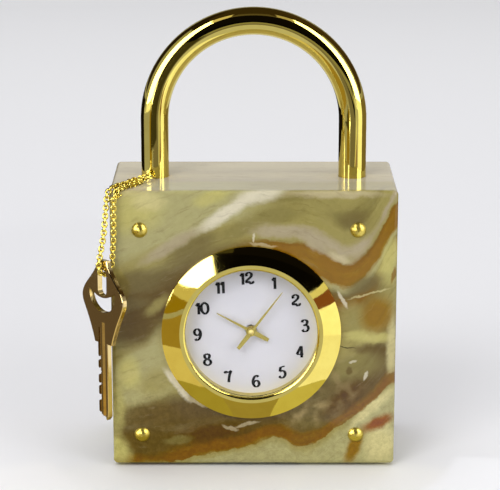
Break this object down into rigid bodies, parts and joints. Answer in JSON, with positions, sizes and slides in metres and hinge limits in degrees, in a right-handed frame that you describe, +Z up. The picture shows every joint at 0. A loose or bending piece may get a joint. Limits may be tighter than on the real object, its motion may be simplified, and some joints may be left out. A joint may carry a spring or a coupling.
{
  "type": "desk clock",
  "caption": "Padlock-shaped banded onyx desk clock with a gold shackle, corner studs, a push-in round quartz insert, and a small key on a chain.",
  "frame": {"origin": "middle of the felt underside, on the table", "axes": "+Z up; the dial looks along -Y; +X to the viewer's right"},
  "size_m": [0.0638, 0.0349, 0.0936],
  "materials": {
    "onyx": "polished, banded green, cream and brown",
    "gold": "polished gold plate",
    "felt": "dark felt",
    "crystal_glass": "clear",
    "dial_paint": "satin white",
    "case_plastic": "black moulded",
    "plate_plastic": "grey moulded",
    "gear_plastic": "natural acetal",
    "steel": "bright",
    "movement_brass": "plain brass",
    "copper_wire": "enamelled copper",
    "board_green": "green laminate",
    "chip_resin": "black resin"
  },
  "bodies": {
    "block": {"onyx_block": "onyx", "base_felt": "felt", "shackle": "gold", "stud_top_left": "gold", "stud_top_right": "gold", "stud_bottom_left": "gold", "stud_bottom_right": "gold", "chain_eye": "gold", "chain_upper": "gold"},
    "grip": {"grip_ring": "case_plastic"},
    "insert": {"bezel": "gold", "crystal": "crystal_glass", "dial_ring": "gold", "dial": "dial_paint", "movement_case": "case_plastic", "main_plate": "plate_plastic", "train_bridge": "plate_plastic", "bridge_screws": "steel", "stator": "steel", "coil_core": "steel", "coil_bobbin": "gear_plastic", "coil_winding": "copper_wire", "coil_screws": "steel", "circuit_board": "board_green", "ic_chip": "chip_resin", "quartz_can": "steel", "battery": "steel", "contact_negative": "steel", "contact_positive": "steel"},
    "cover": {"battery_cover": "case_plastic"},
    "minute": {"minute_hand": "gold", "hand_cap": "gold", "cannon_pinion": "movement_brass", "centre_wheel": "movement_brass"},
    "hour": {"hour_hand": "gold", "hour_wheel": "gear_plastic"},
    "setting": {"minute_wheel": "gear_plastic", "setting_arbor": "steel", "setting_knob": "case_plastic"},
    "intermediate": {"intermediate_wheel": "gear_plastic"},
    "rotor": {"rotor_magnet": "steel", "rotor_pinion": "gear_plastic"},
    "chain": {"chain_hanging": "gold"},
    "key": {"key": "gold"}
  },
  "joints": [
    {"name": "insert_pull", "type": "slide", "parent": "block", "child": "grip", "axis": [0, -1, 0], "range_m": [0, 0.016]},
    {"name": "insert_turn", "type": "hinge", "parent": "grip", "child": "insert", "pos_m": [-0.0005, -0.014, 0.0291], "axis": [0, 1, 0], "continuous": true},
    {"name": "cover_slide", "type": "slide", "parent": "insert", "child": "cover", "axis": [0, 1, 0], "range_m": [0, 0.004]},
    {"name": "minute_turn", "type": "hinge", "parent": "insert", "child": "minute", "pos_m": [-0.0005, -0.014, 0.0291], "axis": [0, 1, 0], "continuous": true},
    {"name": "hour_turn", "type": "hinge", "parent": "insert", "child": "hour", "pos_m": [-0.0005, -0.014, 0.0291], "axis": [0, 1, 0], "continuous": true},
    {"name": "setting_turn", "type": "hinge", "parent": "insert", "child": "setting", "pos_m": [-0.00006, -0.014, 0.02412], "axis": [0, 1, 0], "continuous": true},
    {"name": "intermediate_turn", "type": "hinge", "parent": "insert", "child": "intermediate", "pos_m": [-0.00451, -0.014, 0.02723], "axis": [0, 1, 0], "continuous": true},
    {"name": "rotor_turn", "type": "hinge", "parent": "insert", "child": "rotor", "pos_m": [-0.00551, -0.014, 0.02346], "axis": [0, 1, 0], "continuous": true},
    {"name": "chain_swing", "type": "hinge", "parent": "block", "child": "chain", "pos_m": [-0.02938, -0.01458, 0.0575], "axis": [-0.8581, 0.5126, 0.0301], "range_deg": [0, 60]},
    {"name": "key_swing", "type": "hinge", "parent": "chain", "child": "key", "pos_m": [-0.0301, -0.0162, 0.0418], "axis": [0.7071, 0.7071, 0], "range_deg": [-40, 40]}
  ],
  "couplings": [
    {"joint": "hour_turn", "follows": "minute_turn", "ratio": 0.083333},
    {"joint": "setting_turn", "follows": "minute_turn", "ratio": -0.33333},
    {"joint": "intermediate_turn", "follows": "minute_turn", "ratio": -7.5},
    {"joint": "rotor_turn", "follows": "minute_turn", "ratio": 90}
  ]
}
